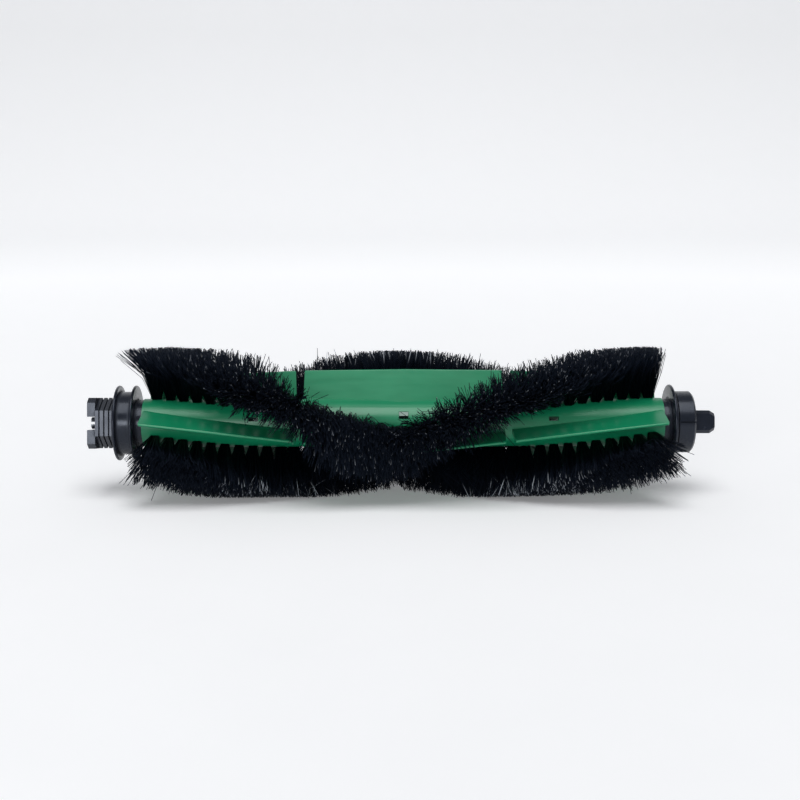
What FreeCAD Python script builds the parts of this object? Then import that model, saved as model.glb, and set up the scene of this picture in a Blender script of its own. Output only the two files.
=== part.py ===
import FreeCAD, Part
import math
import os

# Robot vacuum roller brush, in millimetres and degrees. X runs along the roller's axis from
# the drive end to the bearing end, with the origin on the axis at mid-length. Y points away
# from the front and Z up. Angles round the axis start at +Y and turn towards +Z.

# Core: a round moulding on a steel shaft
core_length = 222.0
core_radius = 10.4
shaft_radius = 3.0
moulded_fit = 0.02

# Chevron rows of tufts, each set in its own socket
row_count = 3
row_apex_angle = 190.0
row_twist_per_mm = 1.0
tuft_pitch = 5.865
tuft_end_margin = 5.2
socket_length = 3.8
socket_width = 2.9
socket_depth = 4.0
socket_clearance = 0.1
tuft_tip_radius = 32.0
tuft_tip_gap = 0.3
tuft_fan_width = 12.4
resting_height = 31.4
anchor_thickness = 0.5
anchor_height = 1.0

# Fins: thin leaning blades that run beside the rows, slit into a middle and two side blades
fin_tip_radius = 22.8
fin_tip_apex_angle = 201.2
fin_tip_twist_per_mm = 0.293
fin_tip_thickness = 1.3
fin_draft_per_mm = 0.045
fin_end_gap = 0.8
middle_blade_angle = 187.5
side_blade_angle = 190.0
slit_distance = 44.5
slit_tip_width = 4.0
slit_root_width = 3.0

# Windows that the moulding leaves over the shaft
window_length = 4.1
middle_window_width = 3.3
middle_window_angle = 151.0
side_window_width = 1.8
side_window_angle = 160.0
side_window_distance = 63.7

# Lugs that lock both end pieces to the core
lug_inner_radius = 4.8
lug_outer_radius = 8.4
lug_width = 3.0
lug_length = 3.0
lug_clearance = 0.1
lug_angles = (80.0, 260.0)

# Flanges, the same on the drive cap and the hair guard
flange_radius = 16.1
flange_thickness = 1.2
neck_radius = 10.0

# Drive cap: spool, ribbed hexagon and two jaws
drive_neck_length = 3.15
drum_length = 5.9
drum_radius = 13.45
hexagon_corner_radius = 10.85
rib_count = 4
rib_pitch = 2.05
rib_width = 1.45
rib_depth = 1.0
jaw_length = 3.4
jaw_height = 21.7
jaw_width = 18.0
jaw_chamfer_height = 2.1
jaw_chamfer_width = 3.2
jaw_slot = 5.6
drive_turn = 11.0
shaft_socket_depth = 12.0

# Slotted screw that holds the drive cap on the shaft
screw_radius = 1.5
screw_length = 17.0
screw_head_radius = 2.5
screw_head_height = 3.2
screw_slot_width = 0.9
screw_slot_depth = 1.9
screw_hole_clearance = 0.15
screw_thread_clearance = 0.03
tapped_hole_spare = 2.0

# Bearing end: guard collar, bush, cup and square peg
guard_neck_length = 3.15
collar_length = 0.95
collar_radius = 13.5
running_gap = 0.4
cup_length = 7.1
cup_radius = 13.25
cup_wall = 1.8
cup_end_wall = 2.3
cup_edge = 0.9
boss_radius = 6.5
seam_width = 0.7
seam_depth = 1.1
peg_length = 9.9
peg_width = 9.8
peg_edge = 1.4
peg_tip_edge = 1.3
peg_tip_run = 2.4
journal_radius = 2.5
journal_clearance = 0.05
bush_radius = 4.0
bush_length = 8.0
end_float = 0.4

# Places along the axis, counted from the drive end
hexagon_length = rib_count * rib_pitch
drive_length = jaw_length + hexagon_length + 2 * flange_thickness + drum_length + drive_neck_length
guard_length = guard_neck_length + flange_thickness + collar_length
cap_length = cup_length + peg_length
overall_length = drive_length + core_length + guard_length + running_gap + cap_length
jaw_x = -overall_length / 2
hexagon_x = jaw_x + jaw_length
outer_flange_x = hexagon_x + hexagon_length
drum_x = outer_flange_x + flange_thickness
inner_flange_x = drum_x + drum_length
drive_neck_x = inner_flange_x + flange_thickness
core_x = jaw_x + drive_length
middle_x = core_x + core_length / 2
core_end_x = core_x + core_length
guard_flange_x = core_end_x + guard_neck_length
collar_x = guard_flange_x + flange_thickness
journal_x = collar_x + collar_length
cup_x = journal_x + running_gap
peg_x = cup_x + cup_length
shaft_x = core_x - shaft_socket_depth
bush_end_x = cup_x + bush_length
journal_end_x = bush_end_x - end_float

ALONG = FreeCAD.Vector(1, 0, 0)
CENTRE = FreeCAD.Vector(0, 0, 0)
ROW_STEP = 360.0 / row_count


def around(x, radius, angle):
    """Point at a radius and an angle round the axis."""
    turn = math.radians(angle)
    return FreeCAD.Vector(x, radius * math.cos(turn), radius * math.sin(turn))


def rod(start, end, radius):
    return Part.makeCylinder(radius, end - start, FreeCAD.Vector(start, 0, 0), ALONG)


def outline_face(corners):
    return Part.Face(Part.makePolygon(corners + corners[:1]))


def turned(*profile):
    """Solid of revolution from (x, radius) corners that begin and end on the axis."""
    corners = [FreeCAD.Vector(x, radius, 0) for x, radius in profile]
    return outline_face(corners).revolve(CENTRE, ALONG, 360)


def extruded(corners, sweep):
    return outline_face(corners).extrude(sweep)


def tapered(foot, tip):
    """Flat-sided solid between two outlines whose matching edges are parallel."""
    sides = [outline_face([foot[i - 1], foot[i], tip[i], tip[i - 1]]) for i in range(len(foot))]
    return Part.makeSolid(Part.makeShell([outline_face(foot), outline_face(tip)] + sides))


def spun(shape, angle):
    """Copy of a shape turned about the roller's axis."""
    copy = shape.copy()
    copy.rotate(CENTRE, ALONG, angle)
    return copy


def block(start, end, width, inner, outer, angle):
    """Box along X that stands radially between two radii, square to the given angle."""
    box = Part.makeBox(end - start, outer - inner, width)
    box.translate(FreeCAD.Vector(start, inner, -width / 2))
    return spun(box, angle)


def fused(shapes):
    return shapes[0].multiFuse(shapes[1:]).removeSplitter()


def row_angle(distance):
    """Angle of the first row at a distance from mid-length; the apex lies between two tufts."""
    return row_apex_angle - row_twist_per_mm * abs(distance + tuft_pitch / 2)


def tuft_distances():
    """Distances of the tufts from mid-length, evenly pitched to both ends of the core."""
    per_side = int((core_length / 2 - tuft_end_margin) / tuft_pitch)
    return [step * tuft_pitch for step in range(-per_side, per_side + 1)]


def tuft_section(radius, half_along, half_across):
    """Rectangle square to the +Y radius, with its sides along X and across it."""
    corners = [(1, 1), (-1, 1), (-1, -1), (1, -1)]
    return [FreeCAD.Vector(along * half_along, radius, across * half_across) for along, across in corners]


def placed_in_row(shape, distance, row):
    """Copy of a shape from the +Y radius at mid-length, moved to its place in a row."""
    copy = spun(shape, row_angle(distance) + row * ROW_STEP)
    copy.translate(FreeCAD.Vector(middle_x + distance, 0, 0))
    return copy


socket_floor = core_radius - socket_depth
tuft_foot = socket_floor + anchor_height


def socket_cut():
    mouth = FreeCAD.Vector(0, socket_depth + socket_clearance, 0)
    return extruded(tuft_section(socket_floor, socket_length / 2, socket_width / 2), mouth)


def tuft():
    """One bundle of bristles, pinched at its foot in the socket and fanned out to its tip."""
    mouth_along = socket_length / 2 - socket_clearance
    mouth_across = socket_width / 2 - socket_clearance
    tip_along = (tuft_pitch - tuft_tip_gap) / 2
    tip_across = tuft_fan_width / 2
    pinch = (core_radius - tuft_foot) / (tuft_tip_radius - core_radius)
    foot = tuft_section(tuft_foot, mouth_along - pinch * (tip_along - mouth_along),
                        mouth_across - pinch * (tip_across - mouth_across))
    tip = tuft_section(tuft_tip_radius, tip_along, tip_across)
    return tapered(foot, tip)


def bristle_row(row):
    """A chevron of tufts, pressed flat where the brush lies on its bristles."""
    bundle = tuft()
    span = 4 * tuft_tip_radius
    floor = Part.makeBox(core_length, span, span)
    floor.translate(FreeCAD.Vector(core_x, -span / 2, -resting_height - span))
    tufts = [placed_in_row(bundle, distance, row) for distance in tuft_distances()]
    rested = [each.cut(floor) if each.BoundBox.ZMin < -resting_height else each for each in tufts]
    return Part.makeCompound([solid for each in rested for solid in each.Solids])


def tuft_anchors(row):
    """Flat wires on edge across the socket floors, over which the bristles are folded."""
    half_length = socket_length / 2 - socket_clearance
    anchor = block(-half_length, half_length, anchor_thickness, socket_floor, tuft_foot, 0)
    return Part.makeCompound([placed_in_row(anchor, distance, row) for distance in tuft_distances()])


def fin_tip_angle(distance):
    return fin_tip_apex_angle - fin_tip_twist_per_mm * distance


def fin_section(side, distance, blade_angle):
    """Section of the first fin: a drafted blade from inside the core to its tip."""
    tip = around(middle_x + side * distance, fin_tip_radius, fin_tip_angle(distance))
    outward = around(0, 1, blade_angle)
    under = ALONG.cross(outward)
    depth = tip.dot(outward)
    inner = tip - outward * depth
    inner_thickness = fin_tip_thickness + fin_draft_per_mm * depth
    return [inner, tip, tip + under * fin_tip_thickness, inner + under * inner_thickness]


def fin_slit(side):
    """Wedge that parts the first fin down to the core, wider at the tip."""
    x = middle_x + side * slit_distance
    half_root = slit_root_width / 2
    half_tip = slit_tip_width / 2
    reach = fin_tip_radius + fin_tip_thickness
    corners = [FreeCAD.Vector(x - half_root, core_radius, -fin_tip_radius),
               FreeCAD.Vector(x + half_root, core_radius, -fin_tip_radius),
               FreeCAD.Vector(x + half_tip, reach, -fin_tip_radius),
               FreeCAD.Vector(x - half_tip, reach, -fin_tip_radius)]
    wedge = extruded(corners, FreeCAD.Vector(0, 0, 2 * fin_tip_radius))
    return spun(wedge, fin_tip_angle(slit_distance))


def fin():
    """The first fin: flat blades either side of the apex and beyond the slits."""
    end = core_length / 2 - fin_end_gap
    stretches = [(0, slit_distance, middle_blade_angle), (slit_distance, end, side_blade_angle)]
    blades = [tapered(fin_section(side, near, angle), fin_section(side, far, angle))
              for side in (-1, 1) for near, far, angle in stretches]
    return fused(blades).cut([fin_slit(-1), fin_slit(1)])


def windows():
    places = [(0, middle_window_width, middle_window_angle),
              (-side_window_distance, side_window_width, side_window_angle),
              (side_window_distance, side_window_width, side_window_angle)]
    half = window_length / 2
    return [block(middle_x + distance - half, middle_x + distance + half, width, 0, 2 * core_radius, angle)
            for distance, width, angle in places]


def lugs(start, end, clearance):
    """Lugs at an end of the core, or with a clearance the pockets for them."""
    return [block(start - clearance, end + clearance, lug_width + 2 * clearance,
                  lug_inner_radius - clearance, lug_outer_radius + clearance, angle)
            for angle in lug_angles]


def brush_core():
    turns = [row * ROW_STEP for row in range(row_count)]
    first_fin = fin()
    body = fused([rod(core_x, core_end_x, core_radius)] + [spun(first_fin, turn) for turn in turns])
    socket = socket_cut()
    cuts = [placed_in_row(socket, distance, row)
            for row in range(row_count) for distance in tuft_distances()]
    cuts += [spun(window, turn) for window in windows() for turn in turns]
    cuts += lugs(core_x, core_x + lug_length, lug_clearance)
    cuts += lugs(core_end_x - lug_length, core_end_x, lug_clearance)
    cuts.append(rod(core_x, core_end_x, shaft_radius + moulded_fit))
    return body.cut(cuts)


def steel_shaft():
    """Straight shaft with a turned-down journal and a tapped hole at the drive end."""
    bar = rod(shaft_x, journal_x, shaft_radius).fuse(rod(journal_x, journal_end_x, journal_radius))
    thread_end = hexagon_x + screw_length + tapped_hole_spare
    return bar.cut(rod(shaft_x, thread_end, screw_radius + screw_thread_clearance))


def flange(start):
    return rod(start, start + flange_thickness, flange_radius)


def hexagon_prism(start, end, corner_radius):
    corners = [around(start, corner_radius, 90 - drive_turn + 60 * side) for side in range(6)]
    return extruded(corners, ALONG * (end - start))


def jaws():
    """Two blunt jaws on the end of the hexagon, with the screw's slot between them."""
    half_width = jaw_width / 2
    half_height = jaw_height / 2
    outline = [(half_width, half_height - jaw_chamfer_height), (half_width - jaw_chamfer_width, half_height),
               (jaw_chamfer_width - half_width, half_height), (-half_width, half_height - jaw_chamfer_height)]
    foot = [(y, -z) for y, z in reversed(outline)]
    corners = [FreeCAD.Vector(jaw_x, y, z) for y, z in outline + foot]
    slot = Part.makeBox(jaw_length, 2 * jaw_width, jaw_slot)
    slot.translate(FreeCAD.Vector(jaw_x, -jaw_width, -jaw_slot / 2))
    return spun(extruded(corners, ALONG * jaw_length).cut(slot), -drive_turn)


def drive_cap():
    """Spool, ribbed hexagon and jaws in one moulding, pushed on the shaft and lugged to the core."""
    ribs = [hexagon_prism(hexagon_x + rib * rib_pitch, hexagon_x + rib * rib_pitch + rib_width,
                          hexagon_corner_radius) for rib in range(rib_count)]
    stem = hexagon_prism(hexagon_x, outer_flange_x, hexagon_corner_radius - rib_depth)
    spool = [flange(outer_flange_x), rod(drum_x, inner_flange_x, drum_radius),
             flange(inner_flange_x), rod(drive_neck_x, core_x, neck_radius)]
    body = fused([jaws(), stem] + ribs + spool + lugs(core_x, core_x + lug_length, 0))
    return body.cut([rod(shaft_x, core_x, shaft_radius + moulded_fit),
                     rod(jaw_x, shaft_x, screw_radius + screw_hole_clearance)])


def cap_screw():
    head_x = hexagon_x - screw_head_height
    screw = fused([rod(head_x, hexagon_x, screw_head_radius),
                   rod(hexagon_x, hexagon_x + screw_length, screw_radius)])
    slot = Part.makeBox(screw_slot_depth, 4 * screw_head_radius, screw_slot_width)
    slot.translate(FreeCAD.Vector(head_x, -2 * screw_head_radius, -screw_slot_width / 2))
    return screw.cut(spun(slot, -drive_turn))


def hair_guard():
    """Flange that keeps hair from the bearing, with a collar that covers the edge of the cup."""
    body = fused([rod(core_end_x, guard_flange_x, neck_radius), flange(guard_flange_x),
                  rod(collar_x, journal_x, collar_radius)] + lugs(core_end_x - lug_length, core_end_x, 0))
    return body.cut(rod(core_end_x, journal_x, shaft_radius + moulded_fit))


def bearing_bush():
    sleeve = rod(cup_x, bush_end_x, bush_radius)
    return sleeve.cut(rod(cup_x, bush_end_x, journal_radius + journal_clearance))


def square_peg():
    """Square peg with broken edges and a tapered tip."""
    half = peg_width / 2
    tip_x = peg_x + peg_length

    def outline(x, reach, edge):
        corners = [(reach, edge), (edge, reach), (-edge, reach), (-reach, edge),
                   (-reach, -edge), (-edge, -reach), (edge, -reach), (reach, -edge)]
        return [FreeCAD.Vector(x, y, z) for y, z in corners]

    flat = half - peg_edge
    shank = extruded(outline(peg_x, half, flat), ALONG * (peg_length - peg_tip_run))
    tip = tapered(outline(tip_x - peg_tip_run, half, flat),
                  outline(tip_x, half - peg_tip_edge, flat - peg_tip_edge))
    return spun(shank.fuse(tip), -drive_turn)


def bearing_cap():
    """Cup that stays still in its seat while the roller turns, with the bush pressed in its boss."""
    floor_x = peg_x - cup_end_wall
    cup = turned((cup_x, 0), (cup_x, cup_radius), (peg_x - cup_edge, cup_radius),
                 (peg_x, cup_radius - cup_edge), (peg_x, 0))
    hollow = rod(cup_x, floor_x, cup_radius - cup_wall).cut(rod(cup_x, floor_x, boss_radius))
    seams = [block(cup_x + running_gap, peg_x, seam_width, cup_radius - seam_depth, 2 * cup_radius,
                   side - drive_turn) for side in (0, 180)]
    body = fused([cup, square_peg()])
    return body.cut([hollow, rod(cup_x, bush_end_x, bush_radius + moulded_fit)] + seams)


pieces = {
    "brush_core": brush_core(),
    "steel_shaft": steel_shaft(),
    "drive_cap": drive_cap(),
    "cap_screw": cap_screw(),
    "hair_guard": hair_guard(),
    "bearing_bush": bearing_bush(),
    "bearing_cap": bearing_cap(),
}
for row in range(row_count):
    pieces["bristle_row_%d" % (row + 1)] = bristle_row(row)
    pieces["tuft_anchors_%d" % (row + 1)] = tuft_anchors(row)

os.makedirs("parts", exist_ok=True)
for name, shape in pieces.items():
    shape.exportStep("parts/%s.step" % name)
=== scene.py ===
import bmesh
import bpy
import math
import numpy as np
from mathutils import Matrix, Vector


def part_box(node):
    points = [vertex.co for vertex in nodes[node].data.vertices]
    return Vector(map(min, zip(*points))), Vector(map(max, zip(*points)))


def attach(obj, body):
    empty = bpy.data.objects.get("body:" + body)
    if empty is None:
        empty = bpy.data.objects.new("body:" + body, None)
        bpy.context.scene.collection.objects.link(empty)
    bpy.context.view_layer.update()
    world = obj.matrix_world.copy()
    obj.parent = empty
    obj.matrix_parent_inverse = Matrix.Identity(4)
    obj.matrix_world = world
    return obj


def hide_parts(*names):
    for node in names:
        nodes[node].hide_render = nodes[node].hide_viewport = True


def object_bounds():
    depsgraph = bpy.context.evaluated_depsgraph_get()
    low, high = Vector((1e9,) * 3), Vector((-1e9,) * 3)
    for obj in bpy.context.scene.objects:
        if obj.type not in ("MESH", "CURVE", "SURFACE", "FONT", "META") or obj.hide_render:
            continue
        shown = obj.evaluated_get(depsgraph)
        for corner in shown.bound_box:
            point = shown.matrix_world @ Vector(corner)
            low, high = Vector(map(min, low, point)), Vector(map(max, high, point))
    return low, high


# Robot vacuum roller brush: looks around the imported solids, in metres, in their own frame.
# X runs along the roller from the drive end to the bearing end, -Y is the front and Z up.

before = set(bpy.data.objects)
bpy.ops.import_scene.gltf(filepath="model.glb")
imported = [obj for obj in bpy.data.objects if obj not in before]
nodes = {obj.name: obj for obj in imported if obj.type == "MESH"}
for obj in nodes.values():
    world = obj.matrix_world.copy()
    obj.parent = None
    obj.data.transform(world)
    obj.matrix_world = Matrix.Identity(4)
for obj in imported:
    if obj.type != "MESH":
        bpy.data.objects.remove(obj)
cad_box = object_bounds()
MM = 0.001

# Roller sizes that the filaments and edges follow
core_radius = 10.4 * MM
tip_radius = 32.0 * MM
floor_height = cad_box[0].z
core_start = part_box("brush_core")[0].x
core_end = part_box("brush_core")[1].x
core_middle = (core_start + core_end) / 2

# Filaments: drawn nylon, bundled in tufts that fan out until neighbours merge
filament_width = 0.27 * MM
filaments_per_tuft = 360
mouth_along = 1.15 * MM
mouth_across = 1.0 * MM
fan_along = 7.2 * MM
fan_across = 11.5 * MM
foot_depth = 2.0 * MM
end_rise = 1.0 * MM
tip_unevenness = 0.6 * MM
tip_wander = 1.1 * MM
clumps_per_tuft = 40
clump_pull = 0.4
stray_share = 0.05
stray_wander = 2.6 * MM
bend_share = 0.6
splay_share = 0.46
bow = 0.5 * MM
filament_sides = 3

# Slanting direction that a filament's sides are set square to
side_reference = (0.3, 0.5, 0.81)

# Random tone and painted glint of a filament at its foot, bend and tip: the tone lightens towards the tip
# as painted light
shade_along = (0.0, 0.3, 1.0)
glint_along = (0.0, 0.0, 1.0)

# Painted glints at the tips: how few filaments have one, and each row's strength by distance from the
# roller's middle
glint_rarity = 6
glint_places = [place * MM for place in (30, 42, 58, 75, 88)]
row_glint = {1: [0.75] * len(glint_places), 2: (0.4, 2.4, 2.0, 1.0, 0.35), 3: [1.3] * len(glint_places)}

# Filaments of the second row that cross to the next tuft, by distance from the roller's middle
crossing_row = 2
crossing_places = (35.0 * MM, 60.0 * MM)
crossing_shares = (0.5, 0.0)
crossing_spread = 6.0 * MM

# Edge of the fin beside each row, over which the row's filaments bend
row_step = math.radians(120)
fin_tip_radius = 22.8 * MM
fin_apex_angle = math.radians(201.2)
fin_twist = math.radians(0.293) / MM

# End tufts lean along the roller, where no neighbour holds them: row to lean at the drive and
# bearing ends
end_lean_reach = 20.0 * MM
end_lean = {1: (-11.0 * MM, -6.0 * MM), 2: (-1.5 * MM, 4.5 * MM), 3: (-4.0 * MM, 4.0 * MM)}
lean_curl = 0.3
row_count = len(end_lean)

# Droop of the upper side of each row's end tufts
end_droop = {1: 0.0, 2: 8.0 * MM, 3: 0.0}

# Rows sag to one side: row to sag across it at the drive end, near it and at the bearing end
sag_places = (core_start, core_start + 40 * MM, core_end)
row_sag = {1: (0.5 * MM, 0.9 * MM, 2.8 * MM), 2: (-3.0 * MM, 0.3 * MM, -3.0 * MM),
           3: (-3.5 * MM, -3.2 * MM, -2.0 * MM)}

# Stretch of the first row that has been combed down over the core, at its upper and lower sides,
# by place along the roller
combed_row = 1
combed_places = [place * MM for place in (-88, -66, -44, -28, 6)]
combed_upper = [drop * MM for drop in (0, -3, 8, 11, 0)]
combed_lower = [drop * MM for drop in (0, 9, 2.5, 11, 0)]

# Pale pads just under the moulding in the upper part of each middle window: a painted highlight that stands
# in for the lit steel shaft
pad_length = 4.0 * MM
pad_width = 1.9 * MM
pad_depth = 0.3 * MM
pad_thickness = 2.0 * MM
pad_edge = 0.1 * MM
pad_angle = math.radians(151)
pad_rise = 0.66 * MM

# Rounded edges that moulding leaves
rim_edge = 0.5 * MM
rim_start = 15.0 * MM
black_edge = 0.2 * MM
cap_edge = 0.06 * MM
fin_edge = 0.6 * MM
fin_start = 11.5 * MM
green_edge = 0.12 * MM
screw_edge = 0.15 * MM
round_segments = 3
weld_distance = 0.002 * MM
flat_angle = math.radians(0.5)
sharp_angle = math.radians(32)

# Values that a noise pattern mostly stays between
noise_range = {"From Min": 0.3, "From Max": 0.7}

# Paper sweep: floor, bend and backdrop
paper_half_width = 4.0
paper_front = -3.0
paper_back = 1.6
paper_bend = 0.8
paper_top = 3.0
paper_steps = 16

# Glow that keeps the paper pale: least on the lit spot, full at a distance, less up the backdrop
lit_spot = (0.0, -0.3, floor_height)
spot_glow = 0.05
full_glow = 0.46
full_glow_distance = 1.3
backdrop_glow = 0.36
backdrop_glow_height = 0.35

# Even light from all round, and how pale it looks where the camera sees past the paper
sky_light = 0.32
sky_seen = 0.8

# Photograph's camera
image_size = 800
focal_pixels = 1312.5
sensor_width = 36.0
camera_distance = 564 * MM
camera_elevation = math.radians(11)
camera_yaw = math.radians(0.63)
camera_aim = Vector((-1.28 * MM, 0, 9.81 * MM))


def linear(code):
    """sRGB hex colour as linear RGBA."""
    channels = [int(code[i:i + 2], 16) / 255 for i in (1, 3, 5)]
    return [c / 12.92 if c <= 0.04045 else ((c + 0.055) / 1.055) ** 2.4 for c in channels] + [1.0]


def feed(tree, node, inputs):
    """Sets a node's inputs to values, or links them to the sockets that feed them."""
    for name, value in inputs.items():
        if isinstance(value, bpy.types.NodeSocket):
            tree.links.new(value, node.inputs[name])
        else:
            node.inputs[name].default_value = value


def add(tree, kind, inputs, out=0, **settings):
    """Adds a node with its settings and inputs, and gives one of its outputs."""
    node = tree.nodes.new("ShaderNode" + kind)
    for name, value in settings.items():
        setattr(node, name, value)
    feed(tree, node, inputs)
    return node.outputs[out]


def new_material(name):
    """A material, its node tree, its shader and the place on the object in metres."""
    material = bpy.data.materials.new(name)
    material.use_nodes = True
    tree = material.node_tree
    place = add(tree, "TexCoord", {}, out="Object")
    return material, tree, tree.nodes["Principled BSDF"], place


def green_polypropylene():
    """Injection-moulded polypropylene: a satin green, with faint flow streaks along the roller and
    shallow sink marks that break up its highlights."""
    material, tree, shader, place = new_material("green_polypropylene")
    streak_width = 2.5 * MM
    width_by_length = 0.11
    cloud_size = 18 * MM
    grain_size = 0.35 * MM
    sink_spacing = 9 * MM
    drawn = add(tree, "Mapping", {"Vector": place, "Scale": (width_by_length, 1, 1)})
    streaks = add(tree, "TexNoise", {"Vector": drawn, "Scale": 1 / streak_width, "Detail": 3.0})
    cloud = add(tree, "TexNoise", {"Vector": place, "Scale": 1 / cloud_size, "Detail": 2.0})
    grain = add(tree, "TexNoise", {"Vector": place, "Scale": 1 / grain_size, "Detail": 2.0})
    sinks = add(tree, "TexNoise", {"Vector": place, "Scale": 1 / sink_spacing, "Detail": 2.0})
    base = add(tree, "Mix", {0: streaks, 6: linear("#07764f"), 7: linear("#0f8a5e")}, out=2,
               data_type="RGBA")
    share = add(tree, "MapRange", {"Value": cloud, **noise_range, "To Max": 0.35})
    colour = add(tree, "Mix", {0: share, 6: base, 7: linear("#1c9367")}, out=2, data_type="RGBA")
    roughness = add(tree, "MapRange", {"Value": streaks, **noise_range, "To Min": 0.28, "To Max": 0.36})
    sunk = add(tree, "Bump", {"Strength": 0.12, "Distance": 0.6 * MM, "Height": sinks})
    normal = add(tree, "Bump", {"Strength": 0.1, "Distance": 0.03 * MM, "Height": grain, "Normal": sunk})
    feed(tree, shader, {"Base Color": colour, "Roughness": roughness, "Normal": normal, "IOR": 1.49,
                        "Specular IOR Level": 0.55})
    return material


def black_abs():
    """Injection-moulded ABS: charcoal, with a spark-eroded grain that scatters the highlights and dull
    crevices that the polish of use doesn't reach."""
    material, tree, shader, place = new_material("black_abs")
    cloud_size = 5 * MM
    grain_size = 0.3 * MM
    crevice_reach = 1.5 * MM
    cloud = add(tree, "TexNoise", {"Vector": place, "Scale": 1 / cloud_size, "Detail": 3.0})
    grain = add(tree, "TexNoise", {"Vector": place, "Scale": 1 / grain_size, "Detail": 4.0})
    colour = add(tree, "Mix", {0: cloud, 6: linear("#0e121b"), 7: linear("#1c212c")}, out=2,
                 data_type="RGBA")
    roughness = add(tree, "MapRange", {"Value": cloud, **noise_range, "To Min": 0.2, "To Max": 0.28})
    normal = add(tree, "Bump", {"Strength": 0.15, "Distance": 0.05 * MM, "Height": grain})
    openness = add(tree, "AmbientOcclusion", {"Distance": crevice_reach}, out="AO", samples=8,
                   only_local=True)
    dull = add(tree, "MapRange", {"Value": openness, "From Min": 0.3, "To Min": 0.5, "To Max": 0.0})
    worn = add(tree, "Math", {0: roughness, 1: dull}, operation="ADD")
    feed(tree, shader, {"Base Color": colour, "Roughness": worn, "Normal": normal, "IOR": 1.53,
                        "Specular IOR Level": 0.4, "Specular Tint": linear("#dde5f4")})
    return material


def black_nylon():
    """Drawn nylon filament: near black, each with its own faint random tone that lightens towards the tip
    as painted light, and a few with a painted glint at the tip.
    """
    material, tree, shader, _ = new_material("black_nylon")
    # Faint random tone of each filament, lightened towards its tip as painted light
    shade = add(tree, "Attribute", {}, out="Fac", attribute_name="shade")
    base = add(tree, "Mix", {0: shade, 6: linear("#010409"), 7: linear("#1c212b")}, out=2, data_type="RGBA")
    # Painted glint: a highlight painted into the colour near the tip of a few filaments
    tone = add(tree, "Attribute", {}, out="Fac", attribute_name="glint")
    glint = add(tree, "MapRange", {"Value": tone, "From Min": 0.5})
    colour = add(tree, "Mix", {0: glint, 6: base, 7: linear("#b9c0c9")}, out=2, data_type="RGBA")
    roughness = add(tree, "MapRange", {"Value": glint, "To Min": 0.45, "To Max": 0.22})
    feed(tree, shader, {"Base Color": colour, "Roughness": roughness, "IOR": 1.53,
                        "Specular IOR Level": 0.12, "Specular Tint": linear("#8ea8d8")})
    return material


def ground_steel():
    """Centreless-ground steel: bright, with fine rings round the bar, drawn coarser than they are so
    that they show."""
    material, tree, shader, place = new_material("ground_steel")
    ring_spacing = 0.25 * MM
    spacing_by_length = 1 / 16
    ringed = add(tree, "Mapping", {"Vector": place, "Scale": (1, spacing_by_length, spacing_by_length)})
    rings = add(tree, "TexNoise", {"Vector": ringed, "Scale": 1 / ring_spacing, "Detail": 3.0})
    colour = add(tree, "Mix", {0: rings, 6: linear("#b9bcc0"), 7: linear("#dcdee0")}, out=2,
                 data_type="RGBA")
    roughness = add(tree, "MapRange", {"Value": rings, **noise_range, "To Min": 0.22, "To Max": 0.34})
    normal = add(tree, "Bump", {"Strength": 0.1, "Distance": 0.02 * MM, "Height": rings})
    feed(tree, shader, {"Base Color": colour, "Roughness": roughness, "Normal": normal, "Metallic": 1.0})
    return material


def pickled_steel():
    """Pale matt grey with a faint green cast, slightly cloudy: the painted highlight of the steel shaft
    seen through the windows.
    """
    material, tree, shader, place = new_material("pickled_steel")
    cloud_size = 0.6 * MM
    cloud = add(tree, "TexNoise", {"Vector": place, "Scale": 1 / cloud_size, "Detail": 3.0})
    colour = add(tree, "Mix", {0: cloud, 6: linear("#6f7e79"), 7: linear("#82928c")}, out=2,
                 data_type="RGBA")
    roughness = add(tree, "MapRange", {"Value": cloud, **noise_range, "To Min": 0.4, "To Max": 0.5})
    feed(tree, shader, {"Base Color": colour, "Roughness": roughness, "Metallic": 1.0})
    return material


def zinc_plate():
    """Zinc-plated steel: cool grey, slightly cloudy."""
    material, tree, shader, place = new_material("zinc_plate")
    cloud_size = 0.8 * MM
    cloud = add(tree, "TexNoise", {"Vector": place, "Scale": 1 / cloud_size, "Detail": 3.0})
    colour = add(tree, "Mix", {0: cloud, 6: linear("#8f949b"), 7: linear("#c3c7cc")}, out=2,
                 data_type="RGBA")
    roughness = add(tree, "MapRange", {"Value": cloud, **noise_range, "To Min": 0.28, "To Max": 0.42})
    feed(tree, shader, {"Base Color": colour, "Roughness": roughness, "Metallic": 1.0})
    return material


def sintered_bronze():
    """Oil-filled sintered bronze: dull brown-gold with fine pores, drawn coarser than they are so that
    they show."""
    material, tree, shader, place = new_material("sintered_bronze")
    pore_spacing = 0.25 * MM
    pores = add(tree, "TexNoise", {"Vector": place, "Scale": 1 / pore_spacing, "Detail": 5.0})
    colour = add(tree, "Mix", {0: pores, 6: linear("#6d4d2c"), 7: linear("#a9834f")}, out=2,
                 data_type="RGBA")
    roughness = add(tree, "MapRange", {"Value": pores, **noise_range, "To Min": 0.4, "To Max": 0.6})
    normal = add(tree, "Bump", {"Strength": 0.3, "Distance": 0.03 * MM, "Height": pores})
    feed(tree, shader, {"Base Color": colour, "Roughness": roughness, "Normal": normal, "Metallic": 1.0})
    return material


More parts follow.
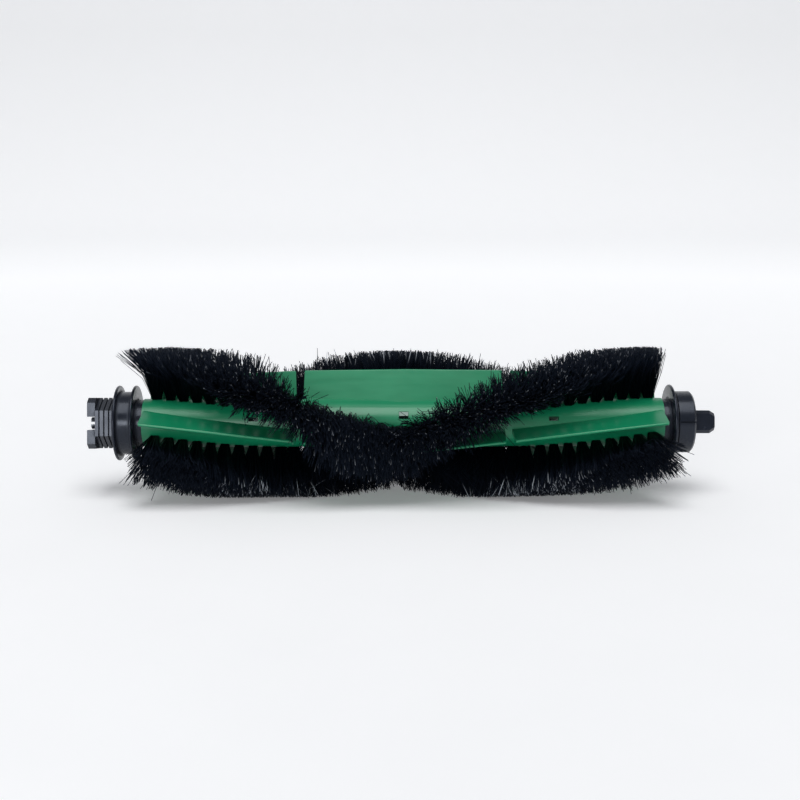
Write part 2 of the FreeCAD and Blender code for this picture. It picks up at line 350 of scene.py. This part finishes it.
def studio_paper():
    """Matt studio paper: barely cloudy, and its far side as pale as its near side."""
    material, tree, shader, place = new_material("studio_paper")
    cloud_size = 40 * MM
    cloud = add(tree, "TexNoise", {"Vector": place, "Scale": 1 / cloud_size, "Detail": 2.0})
    colour = add(tree, "Mix", {0: cloud, 6: linear("#f2f3f5"), 7: linear("#f5f6f8")}, out=2,
                 data_type="RGBA")
    seen = add(tree, "LightPath", {}, out="Is Camera Ray")
    mirrored = add(tree, "LightPath", {}, out="Is Glossy Ray")
    shown = add(tree, "Math", {0: seen, 1: mirrored}, operation="MAXIMUM")
    away = add(tree, "VectorMath", {0: place, 1: lit_spot}, out="Value", operation="DISTANCE")
    near = add(tree, "MapRange", {"Value": away, "From Max": full_glow_distance,
                                  "To Min": spot_glow, "To Max": full_glow})
    height = add(tree, "SeparateXYZ", {"Vector": place}, out="Z")
    far = add(tree, "MapRange", {"Value": height, "From Max": backdrop_glow_height,
                                 "To Min": full_glow, "To Max": backdrop_glow})
    pale = add(tree, "Math", {0: near, 1: far}, operation="MINIMUM")
    strength = add(tree, "Math", {0: shown, 1: pale}, operation="MULTIPLY")
    feed(tree, shader, {"Base Color": colour, "Roughness": 0.9, "Specular IOR Level": 0.1,
                        "Emission Color": linear("#f6f7f9"), "Emission Strength": strength})
    return material


def new_object(name, mesh, material):
    """Puts a mesh with one material in the scene."""
    piece = bpy.data.objects.new(name, mesh)
    bpy.context.scene.collection.objects.link(piece)
    mesh.materials.clear()
    mesh.materials.append(material)
    return piece


def shown_as(piece, body):
    """Makes a piece move with a body."""
    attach(piece, body)


def off_axis(corner):
    """Distance of a corner from the roller's axis."""
    return math.hypot(corner.co.y, corner.co.z)


def round_edges(form, start, width):
    """Rounds the sharp edges that lie further from the axis than the start."""
    sharp = [edge for edge in form.edges if edge.is_manifold and edge.calc_face_angle() > sharp_angle
             and min(off_axis(corner) for corner in edge.verts) > start]
    bmesh.ops.bevel(form, geom=sharp, offset=width, segments=round_segments, profile=0.5, affect="EDGES",
                    clamp_overlap=True)


def softened(node, body, slot, material, *rounds):
    """Copy of a solid with its edges rounded, shown in the solid's place."""
    form = bmesh.new()
    form.from_mesh(nodes[node].data)
    bmesh.ops.remove_doubles(form, verts=form.verts, dist=weld_distance)
    bmesh.ops.dissolve_limit(form, angle_limit=flat_angle, verts=form.verts, edges=form.edges)
    for start, width in rounds:
        round_edges(form, start, width)
    mesh = bpy.data.meshes.new(node + "_softened")
    form.to_mesh(mesh)
    form.free()
    mesh.polygons.foreach_set("use_smooth", [True] * len(mesh.polygons))
    mesh.set_sharp_from_angle(angle=sharp_angle)
    piece = new_object(node + "_softened", mesh, material)
    weighted = piece.modifiers.new("even_shading", "WEIGHTED_NORMAL")
    weighted.keep_sharp = True
    shown_as(piece, body)
    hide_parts(node)


def tuft_places(row):
    """Place along the axis and angle round it of each tuft of a row, read from its anchors."""
    mesh = nodes["tuft_anchors_%d" % row].data
    points = np.empty(len(mesh.vertices) * 3)
    mesh.vertices.foreach_get("co", points)
    points = points.reshape(-1, 3)
    along = points[:, 0].round(6)
    ends = np.unique(along).reshape(-1, 2)
    centres = [points[(along >= start) & (along <= end)].mean(axis=0) for start, end in ends]
    return [(x, math.atan2(z, y)) for x, y, z in centres]


def tubes(paths, width):
    """Points and faces of filaments along paths that all have the same number of stations."""
    count, stations, _ = paths.shape
    heading = paths[:, -1] - paths[:, 0]
    heading /= np.linalg.norm(heading, axis=1, keepdims=True)
    side = np.cross(heading, side_reference)
    side /= np.linalg.norm(side, axis=1, keepdims=True)
    other = np.cross(heading, side)
    turns = [2 * math.pi * corner / filament_sides for corner in range(filament_sides)]
    ring = np.stack([side * math.cos(turn) + other * math.sin(turn) for turn in turns], axis=1) * width / 2
    points = (paths[:, :, None, :] + ring[:, None, :, :]).reshape(-1, 3)
    last = filament_sides * (stations - 1)
    faces = []
    for corner in range(1, filament_sides - 1):
        faces += [(0, corner + 1, corner), (last, last + corner, last + corner + 1)]
    for first in range(0, last, filament_sides):
        for corner in range(filament_sides):
            here = first + corner
            beside = first + (corner + 1) % filament_sides
            above = here + filament_sides
            beside_above = beside + filament_sides
            faces += [(here, beside, beside_above), (here, beside_above, above)]
    firsts = np.arange(count)[:, None, None] * filament_sides * stations
    return points, (np.array(faces)[None] + firsts).reshape(-1, 3)


def fan(rng):
    """Spots in the bundle from -1 to 1, tips and strays of one tuft, along and across the row."""
    count = filaments_per_tuft
    spot = rng.uniform(-1, 1, (count, 2))
    tip = spot * (fan_along, fan_across)
    clumps = tip[:clumps_per_tuft]
    nearest = np.argmin(np.linalg.norm(tip[:, None] - clumps[None], axis=2), axis=1)
    tip += (clumps[nearest] - tip) * clump_pull
    tip += rng.normal(0, tip_wander, (count, 2))
    strays = rng.random((count, 1)) < stray_share
    return spot, tip, strays * rng.normal(0, stray_wander, (count, 2))


def lean(row, x, spot):
    """How far tips lean along the roller, most at the outside of the end tufts, and across the row."""
    drive_side, upper_side = (0.5 - spot / 2).T
    bearing_side, lower_side = (0.5 + spot / 2).T
    drive_lean, bearing_lean = end_lean[row]
    drive_share = max(0, 1 - (x - core_start) / end_lean_reach)
    bearing_share = max(0, 1 - (core_end - x) / end_lean_reach)
    along = drive_lean * drive_share * drive_side ** 2
    along += bearing_lean * bearing_share * bearing_side ** 2
    across = np.full(len(spot), np.interp(x, sag_places, row_sag[row]))
    across += end_droop[row] * max(drive_share, bearing_share) * upper_side
    if row == combed_row:
        upper = np.interp(x, combed_places, combed_upper)
        lower = np.interp(x, combed_places, combed_lower)
        across += upper + (lower - upper) * lower_side
    return np.column_stack([along, across])


def fin_room(row, x, angle):
    """How far across the row a filament may lean before it meets the fin's edge."""
    edge = fin_apex_angle + (row - 1) * row_step - fin_twist * abs(x - core_middle)
    return fin_tip_radius * math.sin(math.remainder(edge - angle, 2 * math.pi))


def row_filaments(row):
    """Paths of all the filaments of a row: foot, bend and tip."""
    rng = np.random.default_rng(row)
    along = np.array((1.0, 0, 0))
    bundles = []
    for x, angle in tuft_places(row):
        outward = np.array((0, math.cos(angle), math.sin(angle)))
        across = np.array((0, -math.sin(angle), math.cos(angle)))
        spot, tip, sway = fan(rng)
        sway += lean(row, x, spot)
        length = tip_radius + end_rise * ((x - core_middle) / (core_end - core_middle)) ** 2
        length = length - np.abs(rng.normal(0, tip_unevenness, len(spot)))
        drop = (sway ** 2).sum(axis=1) / (2 * (length - core_radius))
        height = np.sqrt(length ** 2 - tip[:, 1] ** 2) - drop
        root = np.full(len(spot), core_radius - foot_depth)
        foot = np.column_stack([spot * (mouth_along, mouth_across), root])
        end = np.column_stack([tip + sway, height])
        bend = foot + (end - foot) * (splay_share, splay_share, bend_share) + rng.normal(0, bow, end.shape)
        bend[:, :2] -= sway * lean_curl
        if row == crossing_row:
            share = np.interp(abs(x - core_middle), crossing_places, crossing_shares)
            crosses = rng.random(len(spot)) < share
            bend[:, 0] += crosses * rng.normal(0, crossing_spread, len(spot))
        bend[:, 1] = np.minimum(bend[:, 1], fin_room(row, x, angle))
        paths = along * x + np.stack([foot, bend, end], axis=1) @ np.array([along, across, outward])
        paths[:, :, 2] = np.maximum(paths[:, :, 2], floor_height)
        bundles.append(paths)
    return np.concatenate(bundles)


def bristles(row, material):
    """Filaments of a row, each with its own tone, lightened at the tip as painted light, and a painted
    glint, shown in place of the row's solid tufts.
    """
    paths = row_filaments(row)
    points, faces = tubes(paths, filament_width)
    mesh = bpy.data.meshes.new("bristles_%d" % row)
    mesh.from_pydata(points, [], faces)
    mesh.polygons.foreach_set("use_smooth", [True] * len(mesh.polygons))
    rng = np.random.default_rng(row + row_count)
    # Painted glints near the tips, and a random tone that lightens towards the tip as painted light
    glints = rng.random(len(paths)) ** glint_rarity
    glints *= np.interp(np.abs(paths[:, 0, 0] - core_middle), glint_places, row_glint[row])
    shades = rng.random(len(paths))
    for name, tones, spread in (("glint", glints, glint_along), ("shade", shades, shade_along)):
        attribute = mesh.attributes.new(name, "FLOAT", "POINT")
        values = np.repeat(np.outer(tones, spread), filament_sides)
        attribute.data.foreach_set("value", values.astype(np.float32))
    piece = new_object("bristles_%d" % row, mesh, material)
    shown_as(piece, "roller")
    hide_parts("bristle_row_%d" % row)


def window_pads(material):
    """Pale pads under the middle windows, a painted highlight of the shaft, square to the window's angle
    and set to its upper side.
    """
    form = bmesh.new()
    for turn in range(row_count):
        box = bmesh.ops.create_cube(form, size=1.0)["verts"]
        bmesh.ops.scale(form, vec=(pad_length, pad_thickness, pad_width), verts=box)
        middle = core_radius - pad_depth - pad_thickness / 2
        bmesh.ops.translate(form, vec=(core_middle, middle, -pad_rise), verts=box)
        bmesh.ops.rotate(form, matrix=Matrix.Rotation(pad_angle + turn * row_step, 3, "X"), verts=box)
    bmesh.ops.bevel(form, geom=form.edges[:], offset=pad_edge, segments=round_segments, profile=0.5,
                    affect="EDGES")
    mesh = bpy.data.meshes.new("window_pads")
    form.to_mesh(mesh)
    form.free()
    shown_as(new_object("window_pads", mesh, material), "roller")


def dress(node, material):
    """Gives a shown solid its material."""
    mesh = nodes[node].data
    mesh.materials.clear()
    mesh.materials.append(material)


def paper(material):
    """Floor that sweeps up into the backdrop in one curve."""
    profile = [(paper_front, 0.0)]
    for step in range(paper_steps + 1):
        turn = step / paper_steps * math.pi / 2
        profile.append((paper_back + paper_bend * math.sin(turn), paper_bend * (1 - math.cos(turn))))
    profile.append((paper_back + paper_bend, paper_top))
    points = [(side * paper_half_width, y, z + floor_height) for y, z in profile for side in (-1, 1)]
    faces = [(2 * i, 2 * i + 1, 2 * i + 3, 2 * i + 2) for i in range(len(profile) - 1)]
    mesh = bpy.data.meshes.new("paper")
    mesh.from_pydata(points, [], faces)
    mesh.polygons.foreach_set("use_smooth", [True] * len(faces))
    new_object("paper", mesh, material)


def lamp(name, place, power, width, depth):
    """Soft box that points at the roller."""
    light = bpy.data.lights.new(name, "AREA")
    light.shape = "RECTANGLE"
    light.size = width
    light.size_y = depth
    light.energy = power
    holder = bpy.data.objects.new(name, light)
    holder.location = place
    holder.rotation_euler = (-Vector(place)).to_track_quat("-Z", "Y").to_euler()
    bpy.context.scene.collection.objects.link(holder)


def studio():
    """Dim even light, as pale as the paper where the camera looks past it, and two soft boxes."""
    world = bpy.data.worlds.new("studio")
    bpy.context.scene.world = world
    world.use_nodes = True
    tree = world.node_tree
    seen = add(tree, "LightPath", {}, out="Is Camera Ray")
    strength = add(tree, "MapRange", {"Value": seen, "To Min": sky_light, "To Max": sky_seen})
    feed(tree, tree.nodes["Background"], {"Color": linear("#f4f5f7"), "Strength": strength})
    lamp("overhead", place=(0.0, -0.75, 1.95), power=28.0, width=1.4, depth=1.6)
    lamp("front_left", place=(-0.45, -1.3, 0.28), power=4.5, width=0.45, depth=0.35)


def camera():
    """Camera at the photograph's angle and distance."""
    lens = bpy.data.cameras.new("photo_camera")
    lens.sensor_width = sensor_width
    lens.lens = focal_pixels / image_size * sensor_width
    holder = bpy.data.objects.new("photo_camera", lens)
    flat = math.cos(camera_elevation)
    back = Vector((-math.sin(camera_yaw) * flat, -math.cos(camera_yaw) * flat, math.sin(camera_elevation)))
    holder.location = camera_aim + back * camera_distance
    holder.rotation_euler = (-back).to_track_quat("-Z", "Y").to_euler()
    bpy.context.scene.collection.objects.link(holder)
    bpy.context.scene.camera = holder


green = green_polypropylene()
black = black_abs()
nylon = black_nylon()
zinc = zinc_plate()

softened("brush_core", "roller", "green_moulding", green, (fin_start, fin_edge), (0, green_edge))
softened("drive_cap", "roller", "black_moulding", black, (rim_start, rim_edge), (0, black_edge))
softened("hair_guard", "roller", "black_moulding", black, (rim_start, rim_edge), (0, black_edge))
softened("bearing_cap", "bearing", "black_moulding", black, (0, cap_edge))
softened("cap_screw", "roller", "plated_steel", zinc, (0, screw_edge))
dress("steel_shaft", ground_steel())
# Pale pads in the middle windows: a painted highlight of the steel shaft
window_pads(pickled_steel())
dress("bearing_bush", sintered_bronze())
for row in end_lean:
    dress("tuft_anchors_%d" % row, zinc)
    bristles(row, nylon)

paper(studio_paper())
studio()
camera()
bpy.context.scene.view_settings.view_transform = "Standard"
